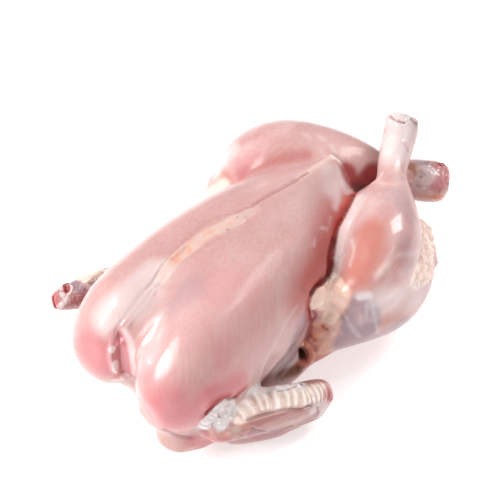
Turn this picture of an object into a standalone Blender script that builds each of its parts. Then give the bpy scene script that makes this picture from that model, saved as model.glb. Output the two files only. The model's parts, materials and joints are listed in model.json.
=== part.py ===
# A raw, skinless whole chicken lying on its back, as one solid.
# Each muscle is a sphere drawn out along its own curved spine. The muscles are fused by a voxel
# remesh, softened, thinned to a light mesh and cut flat where the bird rests on its back.
# Working frame, in millimetres: +X from neck to tail, +Y to the bird's left side, +Z up. At the
# end the bird is moved so that its origin is the bottom centre of its box.

import math

import bmesh
import bpy
import numpy as np
from mathutils import Matrix, Vector

MM = 0.001

# Driving sizes, in millimetres: the half widths of each form at its fullest
lobe_girth = 25.0
lobe_depth = 34.0
lobe_offset = 19.5
keel_girth = 24.0
ribcage_girth = 40.0
pelvis_girth = 44.0
pelvis_depth = 20.0
drumstick_girth = 18.3
far_drumstick_girth = 21.0
thigh_girth = 28.0
stifle_girth = 15.0
calf_girth = 12.5
flexor_girth = 14.0
heel_girth = 9.0
flap_girth = 8.0
shank_girth = 8.0
ankle_girth = 10.0
shoulder_girth = 12.5
wing_girth = 10.5
forearm_girth = 9.0
flank_girth = 9.5
fat_girth = 8.5
vent_girth = 14.0
vent_depth = 10.0

# How the mesh is made, in millimetres and steps
fuse_voxel = 1.8
soften_steps = 10
triangle_goal = 10800
rest_height = 0.6
table_size = 400.0

# Pale pink raw meat, wet
meat_colour = (0.72, 0.46, 0.42, 1.0)
meat_roughness = 0.35


def spline_point(points, t):
    """Catmull-Rom through equally spaced rows, for t from 0 to 1."""
    rows = np.asarray(points, float)
    spans = len(rows) - 1
    at = np.clip(t, 0.0, 1.0) * spans
    i = min(int(at), spans - 1)
    f = at - i
    before = rows[max(i - 1, 0)]
    a, b = rows[i], rows[i + 1]
    after = rows[min(i + 2, spans)]
    return 0.5 * (
        2 * a
        + (b - before) * f
        + (2 * before - 5 * a + 4 * b - after) * f * f
        + (3 * a - before - 3 * b + after) * f ** 3
    )


def muscle(spine, width, depth, width_shares, depth_shares=None, fullness=0.45, up=(0, 0, 1)):
    """A sphere drawn out along a spine. The shares are its half width and half depth at equal
    steps along the spine, as parts of width and depth. A low fullness gives blunt ends."""
    depth_shares = depth_shares or width_shares
    bm = bmesh.new()
    bmesh.ops.create_uvsphere(bm, u_segments=28, v_segments=22, radius=1.0)
    for vert in bm.verts:
        along = (1.0 - vert.co.z) / 2.0
        girth = max(1.0 - vert.co.z ** 2, 0.0) ** fullness
        reach = max(math.hypot(vert.co.x, vert.co.y), 1e-6)
        centre = Vector(spline_point(spine, along))
        ahead = Vector(spline_point(spine, min(along + 0.02, 1.0)))
        behind = Vector(spline_point(spine, max(along - 0.02, 0.0)))
        tangent = (ahead - behind).normalized()
        side = Vector(up).cross(tangent).normalized()
        lift = tangent.cross(side).normalized()
        half_width = width * float(spline_point([[s] for s in width_shares], along)[0])
        half_depth = depth * float(spline_point([[s] for s in depth_shares], along)[0])
        offset = side * (vert.co.x * half_width) + lift * (vert.co.y * half_depth)
        vert.co = centre + offset * (girth / reach)
    bmesh.ops.recalc_face_normals(bm, faces=bm.faces)
    mesh = bpy.data.meshes.new("muscle")
    bm.to_mesh(mesh)
    bm.free()
    mesh.transform(Matrix.Scale(MM, 4))
    return mesh


def breast(side, front, front_height, front_depth):
    """One breast lobe, from the neck to the keel's tip."""
    spine = [
        (front, (lobe_offset - 1) * side, front_height),
        (-60, (lobe_offset + 1) * side, front_height - 4),
        (-25, lobe_offset * side, 54),
        (15, (lobe_offset - 3) * side, 55),
        (54, (lobe_offset - 7) * side, 59),
        (92, 3 * side, 70),
    ]
    return muscle(spine, lobe_girth, lobe_depth, [0.92, 1.02, 1.04, 1.0, 0.88, 0.48],
                  [front_depth, 1.03, 1.03, 1.0, 0.82, 0.46], 0.42)


def torso():
    return [
        muscle([(-66, 0, 30), (-40, 0, 33), (0, 0, 35), (45, 0, 32), (86, 0, 28)],
               ribcage_girth, ribcage_girth, [0.68, 0.9, 1.0, 0.95, 0.7], [0.65, 0.85, 0.93, 0.82, 0.5], 0.5),
        muscle([(-66, 0, 60), (-36, 0, 71), (0, 0, 75), (48, 0, 74), (95, 0, 72)],
               keel_girth, keel_girth, [0.3, 0.8, 1.0, 0.85, 0.28], [0.5, 0.66, 0.67, 0.66, 0.5], 0.5),
        muscle([(-30, 0, 16), (14, 0, 19), (60, 0, 19), (100, 0, 18)],
               pelvis_girth, pelvis_depth, [0.7, 0.82, 1.0, 0.66], [0.8, 0.95, 1.0, 0.75], 0.45),
        muscle([(80, 0, 15), (104, 0, 14), (124, 0, 18)], 20, 11, [1.0, 0.8, 0.45], fullness=0.4),
    ]


def shoulders():
    return [
        muscle([(-70, -15, 27), (-59, -24, 23), (-32, -32, 18)],
               shoulder_girth, shoulder_girth, [0.95, 1.05, 1.0], [1.05, 1.1, 1.1], 0.5),
        muscle([(-52, 14, 26), (-46, 22, 22), (-28, 32, 18)],
               shoulder_girth, shoulder_girth, [0.8, 0.9, 1.0], [1.0, 1.05, 1.1], 0.5),
    ]


def near_leg():
    return [
        muscle([(28, -51, 55), (45, -52, 63), (63, -48, 69), (80, -38, 75), (99, -27, 80)],
               drumstick_girth, drumstick_girth, [0.8, 1.0, 0.98, 0.78, 0.38],
               [0.84, 1.0, 1.02, 0.74, 0.38], 0.42),
        muscle([(45, -43.5, 60), (57, -38, 66), (69, -31.5, 70), (79, -28.5, 74), (87, -27.5, 78)],
               calf_girth, calf_girth, [0.85, 1.0, 0.97, 0.74, 0.45]),
        muscle([(80, -37, 75), (97.5, -25.5, 80), (109, -20, 85), (120.5, -14.5, 91)],
               shank_girth, shank_girth, [1.0, 1.02, 1.16, 1.34], [1.0, 0.94, 1.0, 1.15], 0.14),
        muscle([(12, -34, 26), (42, -40, 34), (70, -43, 37), (103, -37, 34)],
               thigh_girth, thigh_girth, [0.6, 0.86, 1.0, 0.82], [0.54, 0.86, 1.0, 0.79], 0.44),
        muscle([(26, -44, 48), (50, -52, 51), (84, -49, 52)],
               stifle_girth, stifle_girth, [0.9, 1.0, 0.85], [1.1, 1.3, 1.1], 0.42),
        muscle([(10, -31, 21), (20, -38, 21), (38, -43, 23)],
               flap_girth, flap_girth, [1.0, 1.1, 1.1], fullness=0.4),
    ]


def far_leg():
    return [
        muscle([(59, 50, 46), (68, 44, 55), (82, 29, 62), (98, 1, 64), (110, -20, 62)],
               far_drumstick_girth, far_drumstick_girth, [0.76, 0.96, 1.0, 0.8, 0.5], fullness=0.42),
        muscle([(100, -4, 61), (110, -20, 59), (118, -32, 58), (125, -42, 57)],
               ankle_girth, ankle_girth, [0.95, 1.0, 1.15, 1.2], [0.95, 1.0, 1.15, 1.2], 0.14),
        muscle([(36, 34, 26), (56, 41, 32), (81, 42, 35), (110, 34, 32)],
               thigh_girth, thigh_girth, [0.6, 0.86, 1.0, 0.82], [0.54, 0.86, 1.0, 0.79], 0.44),
        muscle([(68, 38, 46), (92, 15, 50), (108, -12, 52)],
               flexor_girth, flexor_girth, [0.95, 1.1, 0.85], [1.0, 1.15, 0.9], 0.35),
        muscle([(76, -2, 56), (87, -9, 60), (100, -14, 62)], heel_girth, heel_girth, [0.9, 1.0, 0.9]),
    ]


def wing(shoulder, elbow, forearm_start, wrist):
    """The upper wing runs back to the elbow, and the forearm folds forward on top of it."""
    ends = (shoulder, elbow, forearm_start, wrist)
    shoulder, elbow, start, wrist = (np.array(point, float) for point in ends)
    return [
        muscle([shoulder, (shoulder + elbow) / 2, elbow],
               wing_girth, wing_girth, [0.95, 1.08, 0.95], fullness=0.2),
        muscle([start, (start + wrist) / 2, wrist], forearm_girth, forearm_girth, [1.0, 1.08, 0.82],
               [0.9, 0.95, 0.7], 0.16),
    ]


def flank():
    """The edge of the back that shows between the near thigh and the near wing."""
    return [muscle([(-34, -27, 15), (-4, -31, 14), (24, -36, 16)], flank_girth, flank_girth, [1.0, 1.0, 1.0])]


def fat():
    """The pad of fat on the hip, behind the near thigh."""
    return [muscle([(97, -41, 51), (98, -44, 36), (88, -53, 22)], fat_girth, fat_girth,
                   [0.95, 1.06, 0.85], up=(1, 0, 0))]


def evaluated(obj):
    graph = bpy.context.evaluated_depsgraph_get()
    return bpy.data.meshes.new_from_object(obj.evaluated_get(graph))


def outer_shell(mesh):
    """Keeps the largest closed surface, so that pockets sealed between muscles are filled."""
    bm = bmesh.new()
    bm.from_mesh(mesh)
    left = set(bm.verts)
    shells = []
    while left:
        shell = [left.pop()]
        for vert in shell:
            for edge in vert.link_edges:
                other = edge.other_vert(vert)
                if other in left:
                    left.remove(other)
                    shell.append(other)
        shells.append(shell)
    shells.sort(key=len)
    for shell in shells[:-1]:
        bmesh.ops.delete(bm, geom=shell, context="VERTS")
    bm.to_mesh(mesh)
    bm.free()


def add_fuse(obj):
    remesh = obj.modifiers.new("fuse", "REMESH")
    remesh.mode = "VOXEL"
    remesh.voxel_size = fuse_voxel * MM


def add_cut(obj, cutter):
    cut = obj.modifiers.new("cut", "BOOLEAN")
    cut.operation = "DIFFERENCE"
    cut.solver = "EXACT"
    cut.object = cutter


def shape_body(obj, vent):
    """One even skin over all the muscles, hollowed at the vent and softened where they meet."""
    add_fuse(obj)
    add_cut(obj, vent)
    add_fuse(obj)
    soften = obj.modifiers.new("soften", "SMOOTH")
    soften.factor = 0.5
    soften.iterations = soften_steps
    mesh = evaluated(obj)
    outer_shell(mesh)
    obj.modifiers.clear()
    obj.data = mesh


def thin_and_rest(obj, table):
    """Fewer triangles, and a flat spot on the back to lie on."""
    obj.data.calc_loop_triangles()
    thin = obj.modifiers.new("thin", "DECIMATE")
    thin.ratio = triangle_goal / len(obj.data.loop_triangles)
    add_cut(obj, table)
    mesh = evaluated(obj)
    obj.modifiers.clear()
    obj.data = mesh


def add_cutter(name, mesh, collection):
    cutter = bpy.data.objects.new(name, mesh)
    cutter.display_type = "WIRE"
    cutter.hide_render = True
    collection.objects.link(cutter)
    return cutter


def table_block():
    """The space below the height where the bird rests."""
    bm = bmesh.new()
    bmesh.ops.create_cube(bm, size=table_size * MM)
    bmesh.ops.translate(bm, verts=bm.verts, vec=(0, 0, (rest_height - table_size / 2) * MM))
    mesh = bpy.data.meshes.new("table")
    bm.to_mesh(mesh)
    bm.free()
    return mesh


def vent_hollow():
    """The mouth of the body cavity, between the thighs and above the tail."""
    return muscle([(66, -2, 35), (92, -3, 33), (118, -4, 34)], vent_girth, vent_depth, [0.9, 1.0, 1.0])


def raw_meat():
    material = bpy.data.materials.new("raw_meat")
    material.use_nodes = True
    shader = material.node_tree.nodes["Principled BSDF"]
    shader.inputs["Base Color"].default_value = meat_colour
    shader.inputs["Roughness"].default_value = meat_roughness
    shader.inputs["Metallic"].default_value = 0.0
    return material


def add_collection(name):
    collection = bpy.data.collections.new(name)
    bpy.context.scene.collection.children.link(collection)
    return collection


def main():
    for obj in list(bpy.data.objects):
        bpy.data.objects.remove(obj, do_unlink=True)
    parts = add_collection("whole_chicken")
    cutters = add_collection("cutters")

    muscles = torso() + shoulders() + flank() + near_leg() + far_leg() + fat()
    muscles += [breast(-1, -81, 57, 0.74), breast(1, -76, 60, 0.72)]
    muscles += wing((-46, -34, 14), (1, -61, 15), (5, -61, 19), (-63, -41, 34))
    muscles += wing((-45, 34, 14), (10, 54, 13), (9, 55, 21), (-52, 70, 37))

    bm = bmesh.new()
    for mesh in muscles:
        bm.from_mesh(mesh)
        bpy.data.meshes.remove(mesh)
    body = bpy.data.meshes.new("chicken")
    bm.to_mesh(body)
    bm.free()
    chicken = bpy.data.objects.new("chicken", body)
    parts.objects.link(chicken)
    shape_body(chicken, add_cutter("vent_cutter", vent_hollow(), cutters))
    thin_and_rest(chicken, add_cutter("table_cutter", table_block(), cutters))

    corners = np.array([vert.co[:] for vert in chicken.data.vertices])
    low, high = corners.min(axis=0), corners.max(axis=0)
    shift = Vector((-(low[0] + high[0]) / 2, -(low[1] + high[1]) / 2, -low[2]))
    chicken.data.transform(Matrix.Translation(shift))
    chicken.data.materials.clear()
    chicken.data.materials.append(raw_meat())
    chicken.data.shade_smooth()
    return shift


placed_shift = main()
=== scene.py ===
import json
import math

import bmesh
import bpy
import numpy as np
from mathutils import Matrix, Vector
from mathutils.bvhtree import BVHTree

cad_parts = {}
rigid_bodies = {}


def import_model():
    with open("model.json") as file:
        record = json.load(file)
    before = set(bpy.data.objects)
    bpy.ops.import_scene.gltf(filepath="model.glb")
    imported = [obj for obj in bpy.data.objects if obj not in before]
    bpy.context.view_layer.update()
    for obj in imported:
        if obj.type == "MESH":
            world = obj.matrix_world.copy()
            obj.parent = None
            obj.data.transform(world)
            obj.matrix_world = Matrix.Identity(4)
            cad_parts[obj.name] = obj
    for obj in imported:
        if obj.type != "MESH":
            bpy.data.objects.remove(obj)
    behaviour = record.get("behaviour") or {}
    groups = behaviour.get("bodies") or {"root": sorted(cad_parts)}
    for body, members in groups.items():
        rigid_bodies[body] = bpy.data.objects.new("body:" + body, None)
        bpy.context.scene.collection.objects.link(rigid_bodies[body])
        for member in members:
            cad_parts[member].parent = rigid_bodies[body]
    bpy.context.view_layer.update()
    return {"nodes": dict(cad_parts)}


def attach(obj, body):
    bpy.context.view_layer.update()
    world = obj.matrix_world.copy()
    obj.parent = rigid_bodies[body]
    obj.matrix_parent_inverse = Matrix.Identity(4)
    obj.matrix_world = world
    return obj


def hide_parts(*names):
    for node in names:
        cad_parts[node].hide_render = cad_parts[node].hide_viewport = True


for old in list(bpy.data.objects):
    bpy.data.objects.remove(old, do_unlink=True)
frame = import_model()
chickenNode = frame["nodes"]["chicken"]
print("frame loaded")

# lengths are in millimetres, and mm turns them into metres
mm = 0.001

# where the photo was taken from; places on the bird are given as pixels of that 500 x 500 picture
photoView = {
    "azimuth": -50.0,
    "elevation": 47.0,
    "distance": 900.0,
    "lens": 129.6,
    "sensor": 36.0,
    "aim": (4.16, 7.64, 49.4),
    "pixels": 500,
    "missSteps": 60,     # how a pixel that just misses the bird is searched for, along its ray
    "missStride": 5.0,
    "strokeStep": 1.2,   # pixels between two samples of a stroke
}
rowsAtOnce = 20000   # vertices measured in one go


def fromAngles(azimuth, elevation):
    a, e = math.radians(azimuth), math.radians(elevation)
    return np.array([math.sin(a) * math.cos(e), -math.cos(a) * math.cos(e), math.sin(e)])


toCamera = fromAngles(photoView["azimuth"], photoView["elevation"])
turned = math.radians(photoView["azimuth"])
imageRight = np.array([math.cos(turned), math.sin(turned), 0])
imageUp = np.cross(toCamera, imageRight)
cameraPlace = np.array(photoView["aim"]) + toCamera * photoView["distance"]


def pixelDirection(pixel):
    half = photoView["pixels"] / 2
    reach = photoView["pixels"] * photoView["lens"] / photoView["sensor"]
    direction = -toCamera + imageRight * (pixel[0] - half) / reach - imageUp * (pixel[1] - half) / reach
    return direction / np.linalg.norm(direction)


# the point of the bird's skin that a pixel shows, or the nearest one where the pixel just misses it
def skinAt(tree, pixel):
    direction = Vector(pixelDirection(pixel))
    start = Vector(cameraPlace * mm)
    place, normal, face, far = tree.ray_cast(start, direction)
    if place is None:
        best = None
        for step in range(photoView["missSteps"]):
            ahead = (step - photoView["missSteps"] / 2) * photoView["missStride"]
            probe = start + direction * (photoView["distance"] + ahead) * mm
            near, nearNormal, face, gap = tree.find_nearest(probe)
            if best is None or gap < best[0]:
                best = (gap, near, nearNormal)
        place, normal = best[1], best[2]
    return np.array(place) / mm, np.array(normal)


# a smooth line through its points, as many samples as asked for
def smoothLine(points, count):
    rows = np.asarray(points, float)
    if len(rows) == 1:
        return rows
    at = np.linspace(0, len(rows) - 1, count)
    i = np.minimum(at.astype(int), len(rows) - 2)
    f = (at - i)[:, None]
    before, after = rows[np.maximum(i - 1, 0)], rows[np.minimum(i + 2, len(rows) - 1)]
    a, b = rows[i], rows[i + 1]
    return 0.5 * (2 * a + (b - before) * f + (2 * before - 5 * a + 4 * b - after) * f ** 2
                  + (3 * a - before - 3 * b + after) * f ** 3)


def strokeOnSkin(tree, pixels):
    rows = np.asarray(pixels, float)
    length = np.linalg.norm(np.diff(rows, axis=0), axis=1).sum() if len(rows) > 1 else 0
    line = smoothLine(rows, max(2, int(length / photoView["strokeStep"])))
    return np.array([skinAt(tree, pixel)[0] for pixel in line])


# distance from every vertex to the nearest sample of a line, and how far along it that sample is
def distanceAlong(points, line, reach):
    far = np.full(len(points), 1e6)
    along = np.zeros(len(points))
    low, high = line.min(0) - reach, line.max(0) + reach
    near = np.nonzero(((points > low) & (points < high)).all(1))[0]
    for start in range(0, len(near), rowsAtOnce):
        rows = near[start:start + rowsAtOnce]
        gaps = np.linalg.norm(points[rows, None, :] - line[None, :, :], axis=2)
        nearest = gaps.argmin(1)
        far[rows] = gaps[np.arange(len(rows)), nearest]
        along[rows] = nearest / max(len(line) - 1, 1)
    return far, along


def softEdge(distance, width, soft):
    t = np.clip((width + soft - distance) / max(soft, 1e-6), 0, 1)
    return t * t * (3 - 2 * t)


# the muscles that the skin belongs to: a line through each in the part's own frame, its half width,
# and the way that its fibres run
muscles = {
    "nearBreast": {
        "line": [
            (-106, -21, 56), (-85, -23, 52), (-50, -22, 53), (-10, -19, 54), (29, -15, 58), (67, -5, 69),
        ],
        "girth": 27, "fibre": (0.56, 0.47, 0.68),
    },
    "farBreast": {
        "line": [
            (-101, 16, 59), (-85, 18, 55), (-50, 17, 53), (-10, 14, 54), (29, 10, 58), (67, 1, 69),
        ],
        "girth": 27, "fibre": (0.75, -0.1, 0.65),
    },
    "nearDrumstick": {"line": [(3, -53, 54), (20, -54, 62), (38, -50, 68), (55, -40, 74), (74, -29, 79)],
                      "girth": 18, "fibre": (0.9, 0.3, 0.35)},
    "nearCalf": {"line": [(20, -46, 59), (32, -40, 65), (44, -34, 69), (54, -31, 73), (62, -30, 77)],
                 "girth": 12, "fibre": (0.9, 0.3, 0.35)},
    "nearAnkle": {"line": [(74, -29, 79), (85, -23, 84), (96, -17, 90)],
                  "girth": 9, "fibre": (0.8, 0.4, 0.45)},
    "nearThigh": {"line": [(-13, -36, 25), (17, -42, 33), (45, -45, 36), (78, -39, 33)],
                  "girth": 25, "fibre": (0.9, 0, 0.4)},
    "farDrumstick": {"line": [(31, 50, 45), (41, 43, 54), (56, 27, 61), (73, -1, 63)],
                     "girth": 20, "fibre": (0.6, -0.75, 0.25)},
    "farAnkle": {"line": [(82, -17, 60), (93, -34, 57), (100, -44, 56)],
                 "girth": 11, "fibre": (0.5, -0.85, 0)},
    "farThigh": {"line": [(11, 32, 25), (31, 39, 31), (56, 40, 34), (85, 32, 31)],
                 "girth": 26, "fibre": (0.9, 0, 0.4)},
    "nearWing": {"line": [(-21, -64, 18), (-55, -54, 26), (-88, -43, 33)],
                 "girth": 10, "fibre": (0.9, -0.3, -0.2)},
    "nearUpperWing": {"line": [(-70, -34, 13), (-45, -50, 15), (-21, -64, 18)],
                      "girth": 10, "fibre": (0.8, -0.5, 0)},
    "farWing": {"line": [(-15, 52, 20), (-46, 60, 28), (-77, 68, 36)],
                "girth": 10, "fibre": (0.9, -0.3, -0.2)},
    "farUpperWing": {"line": [(-70, 32, 15), (-42, 42, 17), (-15, 52, 20)],
                     "girth": 10, "fibre": (0.9, 0.3, 0)},
    "back": {
        "line": [
            (-91, -2, 22), (-55, -2, 18), (-25, -2, 22), (35, -2, 18), (75, -2, 15), (98, -2, 14),
        ],
        "girth": 30, "fibre": (1, 0, 0),
    },
}
muscleNames = list(muscles)
leg = ["nearThigh", "nearDrumstick", "nearCalf", "back", "nearUpperWing"]
drumstick = ["nearDrumstick", "nearCalf"]
wings = ["nearWing", "nearUpperWing"]
breasts = ["nearBreast", "farBreast"]

# lines and spots on the skin, as pixels of the photo, that the forms and the colours below share
places = {
    "keelStrip": [(161, 276), (170, 264), (181, 254), (195, 244), (208, 234), (222, 227), (236, 219)],
    "keelStripEnd": [(236, 219), (248, 213), (256, 208)],
    "keelFront": [(160, 276), (168, 266), (178, 258), (188, 251)],
    "keelBlots": [(172, 259), (179, 254), (184.5, 248)],
    "keelFarEdge": [
        (154, 280), (160.5, 268), (170, 255), (177, 249), (189, 237.5), (204.6, 224.6), (220, 217),
        (235, 213), (252, 206),
    ],
    "keelNearEdge": [
        (155, 290), (165, 278), (172.5, 270), (183, 263), (198, 253), (212, 243), (229, 234.7), (245, 222),
        (257, 214),
    ],
    "keelCrease": [(252, 206), (266, 197), (281, 189), (297, 180), (308, 173)],
    "keelTail": [(153, 282), (142, 294), (133.5, 305), (120.5, 322), (114, 333)],
    "keelTailPale": [(155, 290), (148.5, 301), (141, 309.5), (133.5, 318), (127, 326)],
    # a painted highlight at the top of the cleft
    "cleftTop": [(138, 314), (146, 302), (156, 291)],
    "keelThreadA": [(150, 290), (141, 302), (131, 314), (122, 326)],
    "keelThreadB": [(154, 298), (148, 306), (142, 316), (136, 326)],
    "tipBand": [(300, 178), (311, 170), (321, 163), (331, 157)],
    "tipRim": [(332, 156), (339, 161), (344.5, 170), (349, 181), (354, 191)],
    "cleftInside": [(119.5, 336), (120, 348), (121.5, 361), (124, 374)],
    "cleftNearRim": [(124, 330), (129.5, 341), (132.5, 357), (135, 374)],
    "cleftFarRim": [(115, 333), (110.5, 346), (110, 357), (113, 370)],
    "legCrease": [
        (354.5, 194), (350, 204), (343, 217), (337.5, 228), (335, 238), (333.5, 250), (332, 258),
        (332, 266), (329, 275), (324, 282), (316, 288), (311.5, 296), (309.5, 306), (311, 316),
        (309.5, 330), (305, 342), (299, 350),
    ],
    "legBorder": [
        (356, 194), (351.5, 204), (345, 217), (339.5, 228), (337, 238), (335.5, 250), (334, 258),
        (334, 266), (331, 275), (325.5, 282.5), (317, 288.5), (312, 296.5), (310, 306), (312, 320),
    ],
    "legCreaseDeep": [(333, 240), (330.5, 250), (329, 258), (329, 268), (326, 277), (318, 285), (311, 293)],
    "legShade": [(336, 213), (328, 230), (324, 247), (320, 262), (313, 275), (304, 288), (299, 300)],
    "tipShade": [(349, 196), (345, 206), (341, 216)],
    "legRim": [
        (360, 197), (355, 207), (349, 219), (343, 230), (340, 240), (338.5, 250), (338, 258), (338, 267),
        (335, 274),
    ],
    "hipCrease": [(354, 194), (350, 203), (344, 214)],
    "tipFlank": [(345, 184), (349, 194), (346, 204)],
    "tipStripe": [(337, 180), (337.5, 194), (335, 208)],
    "tipSide": [(340, 172), (344, 184), (347, 191)],
    "tipDashes": [(331, 217), (327, 229), (323, 228), (316, 239), (313.5, 246)],
    "pectoralLine": [(257, 387), (262, 370), (272, 349), (286, 322), (298, 305)],
    "secondLine": [(276, 372), (286, 352), (296, 330)],
    "flankSheet": [(283, 368), (292, 348), (301, 325)],
    "flankRim": [(277, 382), (287, 369), (297, 358), (303, 345)],
    "wingPit": [(207, 413), (215, 403), (224, 399), (234, 396.5), (243, 391)],
    "wingPitRose": [(198, 412), (210, 399), (224, 392), (238, 384)],
    "shoulderFold": [(165, 430), (178, 436), (192, 438)],
    "shoulderLow": [(196, 441), (206, 444), (218, 440)],
    "bellySalmon": [(371, 232), (368, 246), (363, 260), (357, 273)],
    "bellyRose": [(378, 238), (384, 250), (378, 264)],
    "dullBelly": [(354, 246), (359, 258), (358, 270)],
    "kneeSalmon": [(353, 283), (358, 277)],
    "drumLilac": [(406, 246), (410, 265)],
    "drumShine": [(351, 239), (353.6, 250), (349, 266)],
    "drumShineLow": [(344.6, 255), (339, 268), (336.7, 271.5)],
    "drumCream": [(388, 264), (382, 270), (376.5, 275.3)],
    "drumTopLilac": [(392, 192), (402, 200), (408, 214)],
    "drumDark": [(400, 250), (404, 262)],
    "drumSheet": [(417, 253), (398, 255.4), (388, 265.6), (376, 279)],
    "drumStreaks": [(376, 182), (394, 184), (411, 181.5)],
    "drumEdge": [(350, 191), (362, 186), (376, 181), (382, 173)],
    "drumTendon": [(394, 248), (388, 260), (380.5, 272)],
    "tendon": [(359.5, 297.5), (365, 296.6), (370, 296)],
    "tendonDown": [(372, 294.4), (372, 303)],
    "sheetLineA": [(367, 302), (366.5, 312), (366, 320)],
    "sheetLineB": [(372, 303), (373, 310), (375.7, 324), (378.5, 333)],
    "sheetLineC": [(345, 316), (353.6, 330.4), (360, 337)],
    "sheetVein": [(366.6, 318), (366.4, 326)],
    "thighSheet": [(352, 303), (365, 303), (371, 314), (370, 328), (360, 334), (350, 326), (349, 314)],
    "thighLow": [(342, 343), (362, 342), (385, 334), (400, 325)],
    "thighRed": [(388, 318), (398, 312)],
    "thighTop": [(395, 284), (402, 288)],
    "kneeFatTop": [(331, 281), (337, 288), (331, 296), (321, 296), (318, 304), (327, 304)],
    "kneeFatRight": [(342, 291), (341, 300), (334, 310), (330, 318)],
    "kneeFatLow": [(334, 322), (330, 332), (327, 342), (324, 352)],
    "kneeNotch": [(329, 276), (328, 284), (326.5, 290)],
    "kneeSlit": [(313, 311), (315.5, 315), (312.5, 320)],
    "kneeTear": [(322, 325.5), (324.5, 328), (327.5, 329.5)],
    "kneeTissue": [(320, 326), (318, 336), (321, 345), (320, 353)],
    "kneeRed": [(311, 336.5), (315, 340)],
    "hole": [(301.5, 350), (302.5, 356)],
    "holeRing": [(304, 344), (310, 349), (311, 356), (307.5, 363), (300, 366)],
    "backEdge": [(281, 375), (289, 372), (299, 370)],
    "ankleShaft": [(399, 121), (397, 138), (393, 150)],
    "ankleRim": [(388, 114), (397, 116), (404, 117)],
    "ankleEnd": [(405, 118), (415, 121)],
    "ankleCutA": [(390.8, 116.6), (397, 121), (404.8, 123.6)],
    "ankleCutB": [(411, 119), (416, 124.2)],
    "ankleVein": [(403.5, 142), (408.6, 151)],
    "ankleYellow": [(391, 142), (390, 150)],
    "ankleFoot": [(385, 160), (392, 168), (402, 170)],
    "farAnkleShaft": [(420, 172), (432, 178), (442, 184)],
    "farAnkleCut": [(438, 164), (447, 165)],
    "farAnkleEnd": [(447, 172), (449, 190)],
    "farAnkleLow": [(418, 198), (435, 199), (446, 197)],
    "farAnkleDot": [(420.7, 177)],
    "farAnkleLine": [(416.3, 186), (426.5, 186)],
    "farAnkleBrown": [(411, 166), (412.5, 172)],
    "farAnkleTop": [(411, 164), (420, 161), (430, 162)],
    "farAnkleGrey": [(424, 170), (430, 176), (422, 183)],
    "farAnkleRed": [(434, 164), (441, 166), (447, 163)],
    "farAnkleFlesh": [(436, 186), (444, 180), (447, 172)],
    "farKneeFat": [(207, 195), (214, 191), (224, 187)],
    "farDrumSheen": [(308, 140), (330, 146), (350, 156)],
    "sheenFleckA": [(318, 136), (325, 140)],
    "sheenFleckB": [(330, 145), (337, 152)],
    "sheenFleckC": [(321, 149), (325, 157)],
    "sheenFleckD": [(303, 134), (310, 137)],
    "farDrumTendon": [(374, 157), (377, 168)],
    "farDrumDark": [(349, 172), (354, 184), (364, 184), (373, 174)],
    "farDrumDeep": [(354, 188), (362, 189)],
    "farDrumFold": [(285, 160), (310, 156), (330, 158)],
    "farDrumUnder": [(243, 175), (262, 165), (285, 159), (306, 155)],
    "farDrumRim": [(217, 173), (223, 161), (233, 150)],
    "farDrumSalmon": [(216, 190), (224, 180)],
    "dullDrum": [(246, 166), (260, 158), (274, 152)],
    "hipFat": [(424, 226), (429, 240), (429, 256), (427, 270), (418, 278)],
    "wingBand": [
        (238, 415), (251, 406.5), (262, 402.5), (276, 401), (290, 397.5), (303, 396), (318, 391.5),
        (331, 390),
    ],
    "wingTop": [(250, 391), (262, 388), (276, 387), (290, 385), (301, 384)],
    "wingTopLine": [(277.6, 391.7), (285, 390.5), (291.7, 388.4), (296, 386)],
    "wingGroove": [(246, 420), (260, 415.5), (273, 412), (288, 409), (302, 409.5), (310, 406)],
    "wingFilm": [(313, 411), (320, 405), (325, 404), (321, 418)],
    "wingFilmSpot": [(317.5, 408), (318, 412)],
    "wingMeat": [(256, 423), (272, 420), (290, 418), (302, 416)],
    "wingLow": [(254, 433), (266, 436), (278, 433)],
    "wingLowLine": [(252, 428), (262, 431), (277, 431), (292, 426)],
    "wingOrange": [(240.7, 424.2), (249.4, 427.5)],
    "wingElbow": [(329.5, 382), (332, 390), (330.5, 398)],
    "wingElbowDot": [(301.5, 384.5)],
    "wristCap": [
        (204, 425), (209, 419), (215, 413), (222, 406), (229, 402), (231, 410), (226, 417), (220, 424),
    ],
    "wristMark": [(218, 413.5), (219.3, 417)],
    "wristPink": [(226, 407), (230, 405.5)],
    "wristGrey": [(226, 413), (229, 417)],
    "pitFat": [(214, 434), (224, 432), (236, 431)],
    "farWingMarrow": [(66, 286), (67, 290)],
    "farWingRim": [(61, 289), (66, 283.5), (72, 287), (69, 294)],
    "farWingTip": [(53.5, 297), (54.5, 304), (56, 308)],
    "farWingWhite": [(62, 294), (66, 299), (62, 305), (57, 309)],
    "farWingPurple": [(75.5, 283), (78, 287), (81, 290)],
    "farWingCream": [(82, 279), (88, 277), (96, 275), (105, 271)],
    "farWingBrown": [(91, 283), (97, 277), (102, 273)],
    "farWingRed": [(76, 300), (81, 296), (85, 293)],
    # a painted highlight on the near lobe's front
    "nearPale": [(143, 314), (149, 332), (147, 352)],
    "nearRoseA": [(220, 352), (224, 368)],
    "nearRoseB": [(226, 288), (240, 296)],
    "nearLow": [(168, 412), (182, 420)],
    "nearFront": [(150, 372), (160, 392)],
    "farLow": [(92, 350), (104, 362)],
    # a painted highlight on the far lobe
    "farPale": [(106, 320), (122, 303), (140, 287), (156, 272)],
    "nearLilac": [(172, 300), (190, 288)],
    "nearMid": [(230, 320), (245, 345)],
    "dullLobe": [(180, 322), (188, 306), (202, 288), (222, 272)],
    "dullFar": [(86, 330), (93, 312), (103, 294)],
    "dullLobeLow": [(146, 396), (160, 392), (174, 382), (186, 363), (192, 340)],
    "dullBreast": [(256, 300), (272, 276), (290, 256), (300, 240)],
    "redDotA": [(227.6, 229.6)],
    "redDotB": [(237.6, 217.4)],
    "redDotC": [(184.6, 247.6)],
    "redDotD": [(219, 220)],
}

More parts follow.
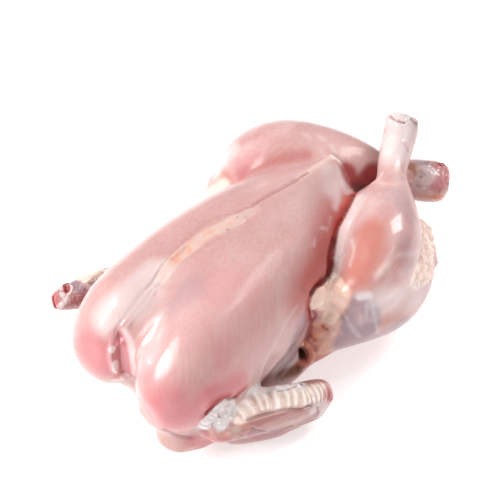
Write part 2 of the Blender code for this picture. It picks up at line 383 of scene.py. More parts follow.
# small rounded forms that are fused on before the skin is drawn over everything:
# pixel across and down, radius, and how deep it sits
lumps = {
    "kneeFat": [
        (332, 280, 4.4, 2), (338, 287, 5, 2.2), (343, 292, 4.4, 2.4), (325, 285, 3.6, 0.8),
        (320, 291, 5, 1), (317, 299, 5.4, 0.8), (325, 297, 6, 1.6), (334, 297, 5.6, 2.2),
        (319, 307, 4.6, 1.2), (328, 306, 5.2, 2), (338, 301, 4.8, 2.6), (324, 313, 4.2, 1.6),
        (333, 312, 4.6, 2.4), (329, 320, 4, 1.8), (336, 322, 3.6, 2.4), (331, 331, 3.8, 2),
    ],
    "kneeTissue": [
        (316, 320, 3.4, 0.8), (316, 332, 3.6, 1.2), (311, 338, 2.4, 0.6), (315, 341, 2.4, 0.6),
        (322, 342, 3.4, 2), (318, 350, 3.2, 1.8), (325, 351, 3, 2),
    ],
    "hipFat": [
        (423, 228, 2.8, 1.2), (429, 229, 2.8, 1), (424, 237, 2.6, 1), (431, 238, 2.8, 0.8),
        (421, 246, 2.2, 0.7), (427, 246, 2.4, 0.8), (433, 247, 2.4, 0.6), (423, 252, 2, 0.5),
        (429, 254, 2.4, 0.6), (435, 255, 2.4, 0.6), (422, 259, 2.2, 0.6), (428, 262, 2.4, 0.6),
        (436, 263, 2.8, 0.8), (422, 268, 3.4, 1.4), (431, 270, 3, 1.2), (417, 276, 3.6, 1.8),
        (425, 277, 3.4, 1.8),
    ],
    "keelTip": [(331, 158, 2.4, 1.5), (336, 163, 2.4, 1.6), (340, 171, 2.2, 1.6), (323, 160, 2.2, 1.5)],
    "cleftBeads": [
        (112.5, 350, 1.9, 0.2), (115.5, 364, 1.8, 0.2), (116.5, 370, 2.1, 0.2), (120, 344, 1.8, -0.6),
        (125, 378, 2.6, 0.4),
    ],
    "wingTopEdge": [
        (254, 396, 4.5, 1), (264, 394, 4.5, 0.8), (275, 393, 4.5, 0.6), (286, 392, 4.2, 0.6),
        (296, 390, 4, 0.8),
    ],
    "wrist": [
        (206, 424, 3.4, 1.6), (211, 419, 3.4, 1.4), (216, 413, 3, 1.2), (222, 408, 3.2, 1),
        (228, 404, 2.8, 0.6), (232, 409, 2.4, 0.8), (226, 413, 2.6, 1), (221, 418, 3, 1.2),
        (227, 420, 2.8, 1.4), (214, 425, 3.2, 1.6), (222, 426, 3, 1.6),
    ],
    "ankleCap": [(389, 117, 4, 2.6), (397, 117, 4.4, 2.8), (406, 119, 4.4, 2.8), (414, 122, 4, 2.4)],
    "farAnkleCap": [
        (444, 167, 4.4, 2.8), (446, 178, 4.6, 3), (445, 189, 4.6, 3), (440, 197, 4, 2.6),
        (428, 163, 4, 2.6),
    ],
    "farWingEnd": [
        (66, 287, 4, 2.4), (56, 297, 4, 2), (56, 305, 3.4, 1.8), (64, 303, 3.6, 2.2), (77, 283, 3.4, 2),
        (88, 278, 3.6, 2), (99, 273, 3.6, 2),
    ],
    "farKneeFat": [(208, 195, 3, 1.6), (216, 190, 3, 1.8), (224, 187, 2.6, 1.8)],
    "pitFat": [(204, 434, 3.4, 1.8), (216, 438, 3.2, 1.6), (229, 437, 3.4, 1.8), (242, 435, 3.2, 1.8)],
}

bodyMesh = {
    "voxel": 1.25,
    "smoothing": 6,
    "softness": 0.5,
    "rounding": 0.5,   # of the finer faces
}


def weldedChicken():
    bm = bmesh.new()
    bm.from_mesh(chickenNode.data)
    bmesh.ops.remove_doubles(bm, verts=bm.verts, dist=1e-6)
    return bm


def fuseLumps():
    bm = weldedChicken()
    tree = BVHTree.FromBMesh(bm)
    for group in lumps.values():
        for across, down, radius, sunk in group:
            place, normal = skinAt(tree, (across, down))
            centre = Vector((place - normal * sunk) * mm)
            bmesh.ops.create_icosphere(bm, subdivisions=2, radius=radius * mm,
                                       matrix=Matrix.Translation(centre))
    mesh = bpy.data.meshes.new("skin")
    bm.to_mesh(mesh)
    bm.free()
    return mesh


def addObject(name, data):
    obj = bpy.data.objects.new(name, data)
    bpy.context.scene.collection.objects.link(obj)
    return obj


def applied(obj):
    graph = bpy.context.evaluated_depsgraph_get()
    mesh = bpy.data.meshes.new_from_object(obj.evaluated_get(graph))
    obj.modifiers.clear()
    obj.data = mesh


def drawSkin(name):
    obj = addObject(name, fuseLumps())
    remesh = obj.modifiers.new("remesh", "REMESH")
    remesh.mode = "VOXEL"
    remesh.voxel_size = bodyMesh["voxel"] * mm
    soften = obj.modifiers.new("soften", "SMOOTH")
    soften.iterations = bodyMesh["smoothing"]
    soften.factor = bodyMesh["softness"]
    applied(obj)
    return obj


# zones with fine detail get smaller faces: pixels on the skin, and how far round them
fineZones = [
    ([(206, 418), (235, 408), (265, 400), (300, 394), (330, 390)], 13),
    ([(225, 430), (260, 430), (300, 418)], 10),
    ([(400, 118), (398, 140), (394, 160)], 11),
    ([(415, 180), (430, 178), (444, 180)], 11),
    ([(332, 285), (322, 305), (325, 325), (318, 345), (304, 356)], 10),
    ([(425, 225), (429, 250), (425, 275)], 9),
    ([(357, 194), (346, 217), (338, 240), (337, 266), (312, 297)], 6),
    ([(60, 300), (70, 290), (90, 282)], 10),
    ([(122, 335), (118, 350), (122, 375)], 8),
    ([(155, 285), (175, 262), (205, 238), (232, 222), (260, 206), (300, 180), (330, 160)], 6),
]
finestZones = [
    ([(205, 418), (235, 408), (265, 400), (300, 394), (330, 390)], 9),
    ([(333, 284), (322, 303), (326, 322), (318, 340)], 7),
    ([(425, 228), (429, 250), (424, 274)], 7),
    ([(119, 337), (119, 350), (123, 376)], 5),
    ([(62, 300), (70, 288), (90, 280)], 6),
]


def refine(obj, zones):
    bm = bmesh.new()
    bm.from_mesh(obj.data)
    tree = BVHTree.FromBMesh(bm)
    bm.verts.ensure_lookup_table()
    points = np.array([vert.co[:] for vert in bm.verts]) / mm
    inside = np.zeros(len(points), bool)
    for pixels, reach in zones:
        far, along = distanceAlong(points, strokeOnSkin(tree, pixels), reach + 2)
        inside |= far < reach
    edges = [edge for edge in bm.edges if inside[edge.verts[0].index] and inside[edge.verts[1].index]]
    bmesh.ops.subdivide_edges(bm, edges=edges, cuts=1, use_grid_fill=True, smooth=bodyMesh["rounding"])
    bm.to_mesh(obj.data)
    bm.free()


class Skin:
    def __init__(self, mesh):
        self.mesh = mesh
        self.read()

    def read(self):
        count = len(self.mesh.vertices)
        flat = np.empty(count * 3)
        self.mesh.vertices.foreach_get("co", flat)
        self.points = flat.reshape(-1, 3) / mm
        normals = np.empty(count * 3, np.float32)
        self.mesh.vertex_normals.foreach_get("vector", normals)
        self.normals = normals.reshape(-1, 3).astype(float)
        edges = np.empty(len(self.mesh.edges) * 2, np.int32)
        self.mesh.edges.foreach_get("vertices", edges)
        self.edges = edges.reshape(-1, 2)

    def write(self):
        self.mesh.vertices.foreach_set("co", (self.points * mm).ravel())
        self.mesh.update()
        self.read()

    def tree(self):
        bm = bmesh.new()
        bm.from_mesh(self.mesh)
        tree = BVHTree.FromBMesh(bm)
        bm.free()
        return tree

    # the values of each vertex's neighbours, averaged some times over
    def blur(self, values, times):
        a, b = self.edges[:, 0], self.edges[:, 1]
        count = len(values)
        degree = np.bincount(a, minlength=count) + np.bincount(b, minlength=count)
        shape = values.reshape(count, -1)
        for step in range(times):
            total = np.zeros_like(shape)
            for column in range(shape.shape[1]):
                total[:, column] = (np.bincount(a, shape[b, column], minlength=count)
                                    + np.bincount(b, shape[a, column], minlength=count))
            shape = 0.5 * shape + 0.5 * total / np.maximum(degree, 1)[:, None]
        return shape.reshape(values.shape)


muscleSamples = 40


# how far points are from each muscle's line, as a share of its half width
def muscleShares(points):
    shares = []
    for muscle in muscles.values():
        line = smoothLine(muscle["line"], muscleSamples)
        far = np.concatenate([
            np.linalg.norm(points[start:start + rowsAtOnce, None] - line[None], axis=2).min(1)
            for start in range(0, len(points), rowsAtOnce)
        ])
        shares.append(far / muscle["girth"])
    return np.array(shares)


# the photo's pixels that points on the bird fall on
def pixelsOf(points):
    rows = points - cameraPlace
    scale = photoView["pixels"] * photoView["lens"] / photoView["sensor"] / -(rows @ toCamera)
    half = photoView["pixels"] / 2
    return half + rows @ imageRight * scale, half - rows @ imageUp * scale


creaseReach = 22   # how far to both sides of the leg's crease its border counts


# the muscle that each vertex belongs to; beside the leg the crease is the border
def muscleAt(skin, tree, shares):
    names = np.array(muscleNames)[shares.argmin(0)]
    border = np.array(places["legBorder"])
    across, down = pixelsOf(skin.points)
    far, along = distanceAlong(skin.points, strokeLine(tree, "legCrease"), creaseReach + 2)
    close = (far < creaseReach) & (down > border[0, 1]) & (down < border[-1, 1])
    left = across < np.interp(down, border[:, 1], border[:, 0])
    names[close & left & np.isin(names, leg)] = "nearBreast"
    names[close & ~left & np.isin(names, breasts)] = "nearCalf"
    return names


# clay: place, half width, soft edge, height (minus cuts in), and any muscles that it stays on
fullForms = [
    ([(136, 326), (139, 342), (143, 358)], 2, 9, 2, "nearBreast"),
    ([(128, 385), (136, 402), (146, 418)], 2, 9, -1.8),
    ([(78, 330), (84, 350)], 2, 9, -1),
    ([(170, 446), (195, 449)], 2, 7, -1.4),
    ([(212, 150), (203, 170), (199, 188)], 2, 8, -2, "farDrumstick", "farThigh"),
    ([(212, 398), (228, 392), (244, 384)], 1, 7, 1.6, "nearBreast"),
    ([(290, 436), (300, 430), (312, 427)], 1, 4, -3.6, *wings),
]
# stretches where the muscle is one even dome: pixels, half width, soft edge
evenForms = [
    ([(140, 335), (152, 312), (172, 292), (202, 270), (238, 248), (270, 232)], 8, 7),
    ([(158, 372), (200, 335), (245, 300), (285, 262)], 12, 9),
    ([(175, 400), (215, 370), (255, 335)], 6, 8),
    ([(98, 325), (125, 292), (160, 258), (200, 225), (245, 200)], 6, 6),
    ([(270, 222), (296, 205), (318, 195)], 6, 6),
    ([(262, 330), (290, 280), (310, 240)], 7, 6),
    ([(352, 235), (359, 252), (358, 270)], 7, 5),
    ([(222, 170), (240, 150), (265, 138), (300, 137), (330, 146)], 7, 6),
    ([(240, 172), (265, 160), (292, 150)], 6, 6),
]
# raised lines: place, half width, soft edge, height, and any muscles that they stay on
ridges = [
    ("keelStrip", 3.4, 1.6, 0.25), ("keelStripEnd", 1.5, 2, 0.2), ("pectoralLine", 0.2, 1.1, 0.35),
    ("secondLine", 0.2, 1, 0.25), ("flankRim", 0.4, 1.6, 0.5), ("drumStreaks", 0.2, 1.2, 0.3),
    ("drumEdge", 0.2, 1.2, 0.3), ("drumSheet", 0.2, 1.4, 0.25), ("tendon", 0.8, 1.6, 0.5),
    ("sheetLineA", 0.2, 1, 0.3), ("sheetLineB", 0.2, 1, 0.3), ("sheetLineC", 0.2, 1, 0.3),
    ("cleftNearRim", 0.6, 2, 0.5, "nearBreast"), ("cleftFarRim", 0.4, 1.6, 0.5, "farBreast"),
    ("keelTailPale", 0.3, 1, 0.35), ("keelThreadA", 0.1, 0.8, 0.25), ("keelThreadB", 0.1, 0.8, 0.2),
    ("tipRim", 0.3, 1.2, 0.3), ("drumTendon", 0.3, 1.6, 0.4), ("tipBand", 0.8, 1.8, 0.5),
    ("holeRing", 0.8, 1.6, 1.2, *leg), ("wingTop", 0.6, 1.8, 0.5, *wings), ("tipDashes", 0.1, 0.7, 0.25),
    ("drumShine", 0.3, 1, 0.25), ("legRim", 0.6, 3, 0.8, *drumstick), ("ankleShaft", 0.4, 3, 0.5),
    ("tendonDown", 0.4, 1.2, 0.4), ("farAnkleGrey", 1, 2.5, 0.8), ("farWingRim", 0.3, 1, 0.5),
    ("farWingTip", 0.6, 1.4, 0.5), ("ankleVein", 0.3, 1, 0.3),
]
# cuts: place, half width, depth as a minus, and any muscles that they stay on
creases = [
    ("keelFarEdge", 1.3, -0.7), ("keelNearEdge", 1.2, -0.35), ("keelCrease", 1.5, -0.9),
    ("keelTail", 1.4, -0.4), ("cleftInside", 5, -2.2), ("legCrease", 1.8, -1.8), ("legCreaseDeep", 2.4, -1),
    ("wingPit", 1.8, -1.6), ("shoulderFold", 2.2, -1.2), ("kneeNotch", 1.2, -0.7), ("kneeSlit", 1.3, -1),
    ("kneeTear", 0.8, -0.7), ("hole", 3, -4.5), ("farDrumDark", 3, -0.8, "farDrumstick"),
    ("wingGroove", 1.6, -1.5, *wings), ("wingTopLine", 0.7, -0.6), ("wingLowLine", 1.2, -1.2),
    ("wingFilmSpot", 1.4, -0.9), ("wristMark", 0.8, -0.9), ("ankleCutA", 1.1, -0.9), ("ankleCutB", 1.2, -1),
    ("farAnkleCut", 1.8, -1.6), ("farAnkleLine", 0.9, -0.5), ("farWingMarrow", 2.4, -2),
    ("farWingTip", 1.4, -1.2), ("sheetVein", 0.8, -0.3),
]

# lumpy stretches: place, half width, soft edge, spacing of the lumps, height,
# and any muscles that they stay on
knobs = [
    ("hipFat", 6, 2, 4.2, 0.75),
    ("wristCap", 2.8, 1.5, 3.6, 0.9),
    ("farWingCream", 3, 1.5, 3, 0.8, "farWing", "farUpperWing"),
    ("farWingRed", 2.5, 2, 2.8, 0.6, "farWing", "farUpperWing"),
    ("farWingWhite", 2, 2, 2.6, 0.5, "farWing"),
    ("farAnkleEnd", 4, 3, 4, 0.8, "farAnkle"),
    ("farAnkleRed", 2, 2, 2.8, 0.7, "farAnkle"),
    ("pitFat", 2, 2, 3.6, 0.5),
    ("ankleRim", 3, 2, 3.4, 0.7),
]

# paint: place, half width, soft edge, strength, and any muscles that it stays on
paints = {
    "fat": [
        ("kneeFatTop", 3.6, 1.8, 0.85), ("kneeFatRight", 3, 2, 0.8), ("kneeFatLow", 2, 3, 0.25),
        ("hipFat", 5.5, 2, 0.75), ("farKneeFat", 3, 3, 0.8, "farDrumstick", "farThigh"),
        ("tipBand", 1, 1.8, 0.35, *breasts), ("farWingCream", 2.5, 1.5, 0.8, "farWing", "farUpperWing"),
        ("pitFat", 1.5, 2.5, 0.3), ("ankleYellow", 2.5, 3, 0.35), ("drumCream", 0.4, 2, 0.3),
    ],
    "strip": [("keelStrip", 2.8, 2, 0.9, *breasts), ("keelStripEnd", 1, 2.6, 0.6, *breasts)],
    "peach": [
        ("kneeFatTop", 4, 2, 0.8), ("kneeFatRight", 3.5, 2, 0.8), ("kneeFatLow", 2.5, 3, 0.5),
        ("keelFront", 1.2, 1.8, 0.35, *breasts), ("kneeTissue", 2.5, 2.5, 0.9), ("holeRing", 1.4, 1.4, 0.6),
        ("tipFlank", 0.8, 2.4, 0.2, *breasts), ("drumStreaks", 0.4, 1.6, 0.4), ("ankleFoot", 2, 3, 0.12),
        ("farAnkleLow", 2, 2, 1, "farAnkle"), ("farDrumTendon", 1.5, 2, 0.7, "farDrumstick"),
        ("wingOrange", 0.4, 1.6, 0.5), ([(345.9, 285)], 0.8, 1.6, 0.7),
        ("farAnkleBrown", 1.5, 2.5, 0.6, "farAnkle"),
    ],
    # white tendons, bone, cartilage, film and beads of fat, and painted highlights and light: on both
    # lobes, along the breast's tip, on the far drumstick's end and its wet flecks, along the drumstick's
    # shine and its rim, and on the wing's top
    "whiteAndHighlight": [
        ("ankleShaft", 5, 7, 0.6, "nearAnkle", "nearDrumstick"), ("farAnkleGrey", 2, 3.5, 0.35, "farAnkle"),
        # painted highlights along the breast's tip: on its rim and in a stripe beside it
        ("tipRim", 0.4, 1, 0.6, *breasts), ("tipStripe", 1, 1.4, 0.35, *breasts), ("tendon", 0.9, 2.4, 0.8),
        ("tendonDown", 0.4, 1.2, 0.6), ("sheetLineA", 0.2, 0.9, 0.5), ("sheetLineB", 0.2, 0.9, 0.6),
        ("sheetLineC", 0.2, 1, 0.6), ("pectoralLine", 0.1, 0.9, 0.45), ("secondLine", 0.1, 0.9, 0.3),
        ("keelTailPale", 0.2, 1, 0.35), ("keelThreadA", 0.1, 0.7, 0.4), ("keelThreadB", 0.1, 0.7, 0.3),
        # painted highlights on both lobes
        ("nearPale", 4, 9, 0.35, "nearBreast"), ("farPale", 3, 8, 0.55, "farBreast"),
        # a painted highlight at the top of the cleft
        # painted light on the side of the breast's tip
        ("tipSide", 1.2, 3.5, 0.45, *breasts), ("cleftTop", 1.5, 5, 0.4, *breasts),
        # a painted highlight on the far drumstick's end; the sheen flecks are painted highlights too
        ("farDrumRim", 1.5, 5, 0.5, "farDrumstick"), ("sheenFleckA", 0.2, 0.9, 0.6),
        ("sheenFleckB", 0.2, 0.9, 0.6), ("sheenFleckC", 0.1, 0.9, 0.5), ("sheenFleckD", 0.2, 1, 0.45),
        ([(384, 298), (400, 300), (414, 296)], 4, 8, 0.4, *leg),
        # painted light on the top of the breast's tip
        # the wing's top: pale skin, brightened further with painted light where its edge sits in shade
        ([(330, 170), (331, 190)], 2, 6, 0.3, *breasts), ("wristCap", 2.4, 2, 1), ("wingTop", 2, 2.2, 0.85),
        # painted light: the drumstick's rim brightened, as it sits in the crease's shade
        ("drumTendon", 0.2, 1.4, 0.35), ("legRim", 1.4, 4, 0.5, *drumstick), ("drumStreaks", 0.2, 0.9, 0.5),
        ("drumEdge", 0.2, 1, 0.5), ("drumSheet", 0.2, 1.4, 0.3), ("drumShine", 0.2, 0.8, 0.6),
        # painted highlights: wet dashes on the breast below its tip
        ("drumShineLow", 0.2, 0.8, 0.5), ("tipDashes", 0.1, 0.6, 0.8), ("farWingRim", 0.3, 0.9, 0.8),
        ("farWingWhite", 1, 1.2, 0.7), ("cleftNearRim", 0.7, 2, 0.65), ("wingFilm", 1.4, 2, 0.4, *wings),
        ("wingLowLine", 0.4, 1.2, 0.3, *wings), ("flankRim", 0.4, 1.2, 0.35),
        ([(112.5, 350)], 1.6, 0.8, 0.7), ([(115.5, 364), (116.5, 371)], 1.5, 0.8, 0.7),
        # a painted highlight: a wet speck on the breast
        ([(125, 378)], 2.2, 0.8, 0.6), ("cleftFarRim", 0.2, 1, 0.3), ([(314.3, 213)], 0.3, 0.5, 0.8),
    ],
    "lilac": [
        ("thighSheet", 4, 2, 1, *leg), ("drumLilac", 3, 5, 0.4, *leg), ("drumTopLilac", 3, 5, 0.3),
        ("flankSheet", 5, 4, 0.7, "nearBreast", "back", "nearThigh"), ("thighLow", 3, 6, 0.85, *leg),
        ("nearLilac", 4, 9, 0.35, "nearBreast"), ("wingTop", 1.6, 1.8, 0.2),
        ("farDrumSheen", 5, 6, 0.25, "farDrumstick"), ("ankleEnd", 2, 2, 0.6),
        ("farAnkleTop", 1.5, 2.5, 0.6, "farAnkle"), ("farWingPurple", 2.5, 1.5, 1),
        ("wingLow", 1.5, 2.5, 0.6, *wings), ("legRim", 0.2, 1.6, 0.12, *drumstick),
        ("wristGrey", 0.8, 1.4, 0.5, *wings), ("shoulderFold", 1, 3, 0.3),
    ],
    "salmon": [
        # painted light: the drumstick's rim made a brighter pink
        ("legRim", 1.5, 4, 0.3, *drumstick), ("bellySalmon", 2, 12.5, 0.95, *leg),
        ("kneeSalmon", 2, 3.5, 0.8, *leg), ("thighRed", 3, 6, 0.45, *leg), ("thighTop", 2, 5, 0.3, *leg),
        ("farDrumSalmon", 3, 6, 0.8, "farDrumstick"), ("drumDark", 2, 4, 0.3, *leg),
        ("wingMeat", 2, 2.5, 0.3, *wings), ("bellyRose", 3, 6, 0.35, *leg),
        ([(318, 359), (326, 354)], 1.5, 4, 0.8), ("holeRing", 2.2, 1.6, 1),
    ],
    # real red flesh, marrow and cut ends, rose mottling, the lobes redder towards their lower edges, and
    # painted shade: under the far drumstick and in its fold, along the lower edges of the shoulder and the
    # wing, and in the wing pit
    "roseAndShade": [
        ("nearLow", 7, 14, 0.85, "nearBreast"), ("farLow", 5, 9, 0.85, "farBreast"),
        ("nearMid", 6, 20, 0.15, "nearBreast"), ("nearFront", 4, 9, 0.35, "nearBreast"),
        ("nearRoseA", 2, 8, 0.35, "nearBreast"), ("nearRoseB", 6, 14, 0.25, "nearBreast"),
        ("wingPitRose", 3, 9, 0.9, "nearBreast"), ("wingElbow", 3, 3.5, 0.8), ("cleftInside", 4, 2.5, 1),
        ("farAnkleRed", 1.5, 2, 0.9, "farAnkle"), ("farAnkleFlesh", 2.5, 3, 0.7, "farAnkle"),
        ("shoulderLow", 3, 6, 0.7), ("farDrumUnder", 3, 9, 0.5, "farDrumstick", "farThigh"),
        ("wingLow", 2, 3, 0.4, *wings), ("farDrumFold", 1, 5, 0.6, "farDrumstick", "farThigh"),
        ("farWingTip", 2, 2, 0.8, "farWing"), ("farWingMarrow", 2.4, 1.5, 0.9, "farWing"),
        ("kneeSlit", 1, 3, 0.5), ([(309.5, 322), (308, 334)], 1, 3, 0.8),
    ],
    # real blood spots, marrow and red cut ends, and painted shade: dark red along the leg's crease, the
    # hip's crease, the keel's creases, the wing pit, the knee's slits, the hollow by the knee and the gap
    # under the far drumstick
    "bloodAndShade": [
        ("legCrease", 0.3, 2.6, 0.7, *breasts), ("legCreaseDeep", 1.2, 3.6, 1, *breasts),
        ("hipCrease", 0.6, 2.2, 0.6, *breasts), ("wingPit", 0.3, 1.6, 0.7), ("kneeNotch", 0.1, 0.8, 0.25),
        ("keelCrease", 0.2, 1.3, 0.6), ("keelFarEdge", 0.1, 0.8, 0.3), ("keelTail", 0.1, 0.9, 0.15),
        ("hole", 1.9, 1.4, 0.9), ("kneeSlit", 0.5, 1.2, 0.7), ("kneeRed", 0.6, 1.2, 0.6),
        ("kneeTear", 0.2, 0.7, 0.6), ("farDrumDark", 4, 3.5, 1), ("keelBlots", 0.2, 1, 0.35),
        ("farWingMarrow", 1.7, 1, 1), ("wingTopLine", 0.1, 0.6, 0.5), ("wingElbow", 1, 2.6, 0.4),
        ("farWingTip", 0.5, 1, 0.9), ("farWingRed", 1.5, 2, 0.5), ("ankleCutA", 0.2, 0.7, 0.9),
        ("ankleCutB", 0.2, 0.7, 0.8), ("farAnkleCut", 0.5, 1, 0.9, "farAnkle"),
        ("farAnkleEnd", 0.4, 1.5, 0.35, "farAnkle"), ("farAnkleLine", 0.1, 0.6, 0.8, "farAnkle"),
        ("farAnkleDot", 0.4, 0.7, 0.8, "farAnkle"), ("wristMark", 0.2, 0.6, 1),
        ("wristPink", 0.4, 1.4, 0.35), ("redDotA", 0.3, 0.6, 1), ("redDotB", 0.2, 0.7, 0.7),
        ("wingFilmSpot", 0.5, 1.2, 0.3, *wings), ("redDotC", 0.3, 1, 0.5), ("redDotD", 0.2, 0.7, 0.5),
        ("sheetVein", 0.2, 0.7, 0.5), ("shoulderFold", 0.3, 1.6, 0.4), ("wingElbowDot", 0.3, 0.6, 0.9),
        ("ankleVein", 0.2, 1.2, 0.3), ("wingLowLine", 0.2, 1, 0.3, *wings),
        ("tipFlank", 0.2, 1.4, 0.3, *breasts),
    ],
    # near black painted shade in the hollow by the knee, the deepest creases and the gap under the far
    # drumstick, and real brown mottling on the far wing
    "brownAndShade": [
        ("hipCrease", 0.4, 2.5, 0.35, *breasts), ("hole", 1.3, 0.9, 1),
        ("legCreaseDeep", 0.4, 2, 0.5, *breasts), ("farWingBrown", 1, 1.5, 0.4, "farWing", "farUpperWing"),
        ("farDrumDeep", 1.5, 3, 0.6),
    ],
    "shade": [
        ("shoulderLow", 2, 8, 0.3), ("farDrumUnder", 0.5, 6, 0.45), ("wingLow", 2, 4, 0.3, *wings),
        ("legShade", 1, 15, 0.75, "nearBreast"), ("legCrease", 2, 7, 1, "nearBreast"),
        ("wingPit", 0.6, 4.5, 0.7), ("farDrumDark", 3, 4, 0.7), ("tipShade", 0.8, 3.5, 0.8, "nearBreast"),
        ([(307, 306), (307, 322), (306, 336)], 0.3, 4, 0.7, "nearBreast"),
        ("farDrumFold", 0.5, 5, 0.5, "farDrumstick"),
    ],
    # painted shadow: the back's underside behind the wing, darkened to brown; real brown on the far ankle
    # and the far wing
    "tan": [
        ("backEdge", 1.6, 2.6, 1, "back", "nearThigh", "nearUpperWing", "nearWing"),
        ("farAnkleBrown", 1.5, 2, 0.6, "farAnkle"), ("farWingBrown", 0.6, 1.2, 0.7),
    ],
    "dull": [
        ("dullLobeLow", 3, 4, 0.85, "nearBreast"), ("dullFar", 5, 4, 0.9, "farBreast"),
        ("dullDrum", 7, 5, 1, "farDrumstick"), ("dullBelly", 3, 4, 0.9, *leg), ("backEdge", 2.5, 3, 1),
        ("dullBreast", 3, 6, 0.7, "nearBreast"), ("dullLobe", 3, 6, 0.8, "nearBreast"),
        ("farDrumDark", 4, 4, 1), ("legCrease", 3, 5, 1, "nearBreast"), ("hole", 3, 3, 1),
        ("kneeTissue", 4, 3, 0.7), ("wingPit", 2, 3, 1), ("drumStreaks", 4, 6, 0.7, *leg),
    ],
    "wet": [
        ("kneeFatTop", 4, 2, 0.8), ("farDrumSheen", 6, 5, 0.7, "farDrumstick"),
        ("farAnkleShaft", 8, 3, 0.7), ([(380, 228), (400, 214)], 6, 6, 0.9, *leg),
        ([(148, 332), (152, 350), (156, 362)], 6, 5, 0.8, "nearBreast"),
        ([(108, 316), (122, 303), (138, 290)], 5, 5, 0.7, "farBreast"), ("ankleShaft", 8, 3, 0.6),
        ("wingMeat", 3, 2, 0.7, *wings), ("wingFilm", 3, 2, 0.9), ("wristCap", 3, 2, 0.7),
        ("cleftInside", 4, 2, 0.7),
    ],
    "wrinkle": [
        ("farDrumSheen", 6, 5, 1, "farDrumstick"), ("wingFilm", 3, 3, 0.8), ("hipFat", 5, 2, 0.5),
        ("ankleShaft", 6, 3, 0.5), ("farAnkleShaft", 6, 3, 0.6), ("wingTop", 2, 2, 0.7),
        ([(277, 277), (286, 285)], 1.5, 2.5, 1, "nearBreast"), ("tipDashes", 1, 2, 0.8, *breasts),
        ([(283, 247), (282, 262)], 0.6, 1.8, 0.8, "nearBreast"), ("flankSheet", 4, 4, 0.4),
        ("kneeFatLow", 3, 2, 0.6), ("farWingCream", 3, 2, 0.8), ("wristCap", 3, 2, 0.9),
    ],
}


def strokeLine(tree, place):
    return strokeOnSkin(tree, places[place] if isinstance(place, str) else place)


# how much of each vertex a stroke covers
def strokeShare(skin, tree, place, width, soft):
    far, along = distanceAlong(skin.points, strokeLine(tree, place), width + soft + 1)
    return softEdge(far, width, soft)


# 1 on the muscles named, and everywhere if none is
def stayOn(names, only):
    return np.isin(names, only) if only else 1


def setMask(skin, name, mask):
    layer = skin.mesh.attributes.new(name, "FLOAT", "POINT")
    layer.data.foreach_set("value", mask.astype(np.float32))


evenLook = {
    "bumps": 90,      # times averaged, more for wider bumps
    "fullness": 160,
    "edge": 6,
}


# takes bumps and dips out of the even stretches, and keeps their fullness
def evenOut(skin, tree):
    share = np.zeros(len(skin.points))
    for pixels, width, soft in evenForms:
        share = np.maximum(share, strokeShare(skin, tree, pixels, width, soft))
    offset = ((skin.blur(skin.points, evenLook["bumps"]) - skin.points) * skin.normals).sum(1)
    shrink = skin.blur(offset, evenLook["fullness"])
    skin.points += skin.normals * (skin.blur(share, evenLook["edge"]) * (offset - shrink))[:, None]
    skin.write()


knobLook = {
    "seed": 5,
    "tries": 1500,           # vertices tried as the middle of a lump
    "spacing": (0.75, 1.25),
    "sizes": (0, 0.8),       # shares of the spacing
    "steepness": 1.3,
    "level": 0.6,
    "gap": 3,
}


# lumps of uneven size, each a dome, with narrow gaps between them
def addKnobs(skin, tree, names):
    chance = np.random.default_rng(knobLook["seed"])
    moved = np.zeros(len(skin.points))
    gap = np.zeros(len(skin.points))
    for place, width, soft, spacing, height, *only in knobs:
        share = strokeShare(skin, tree, place, width, soft) * stayOn(names, only)
        rows = np.nonzero(share > 0)[0]
        seeds = skin.points[rows[:1]]
        for row in chance.permutation(rows)[:knobLook["tries"]]:
            apart = np.linalg.norm(seeds - skin.points[row], axis=1).min()
            if apart > spacing * chance.uniform(*knobLook["spacing"]):
                seeds = np.vstack([seeds, skin.points[row]])
        size = chance.uniform(*knobLook["sizes"], len(seeds)) * spacing
        gaps = np.sort(np.linalg.norm(skin.points[rows, None] - seeds[None], axis=2) - size, axis=1)
        dome = np.clip((gaps[:, 1] - gaps[:, 0]) / spacing * knobLook["steepness"], 0, 1)
        moved[rows] += share[rows] * (np.sqrt(dome) - knobLook["level"]) * height
        gap[rows] = np.maximum(gap[rows], share[rows] * (1 - np.clip(dome * knobLook["gap"], 0, 1)))
    setMask(skin, "gap", gap)
    return moved


wingFolds = {
    "reach": 12,
    "halfWidth": 5.6,
    "soft": 3.5,
    "inset": 2.5,
    "counts": (7, 14),   # folds up to the widening, and in all
    "widening": 0.7,
    "height": 0.9,
    "level": 0.45,
    "bow": 0.4,
    "sharpness": 2.2,
    "uneven": (0.12, 2.3),
}


def foldWingSkin(skin, tree):
    band = strokeLine(tree, "wingBand")
    far, along = distanceAlong(skin.points, band, wingFolds["reach"])
    across = (skin.points - band[(along * (len(band) - 1)).astype(int)]) @ imageUp
    side = across / wingFolds["halfWidth"]
    turn = np.interp(along, (0, wingFolds["widening"], 1), (0, *wingFolds["counts"]))
    turn = turn + wingFolds["bow"] * (side ** 2 - 1)
    amount, pace = wingFolds["uneven"]
    turn += amount * np.sin(turn * pace)
    wave = np.abs(np.cos(turn * math.pi)) ** wingFolds["sharpness"]
    onBand = softEdge(far, wingFolds["halfWidth"] - wingFolds["inset"], wingFolds["soft"])
    setMask(skin, "fold", onBand * wave)
    setMask(skin, "band", onBand)
    return onBand * (wave - wingFolds["level"]) * wingFolds["height"]


creaseShape = 1.6   # higher makes a cut narrower at its bottom


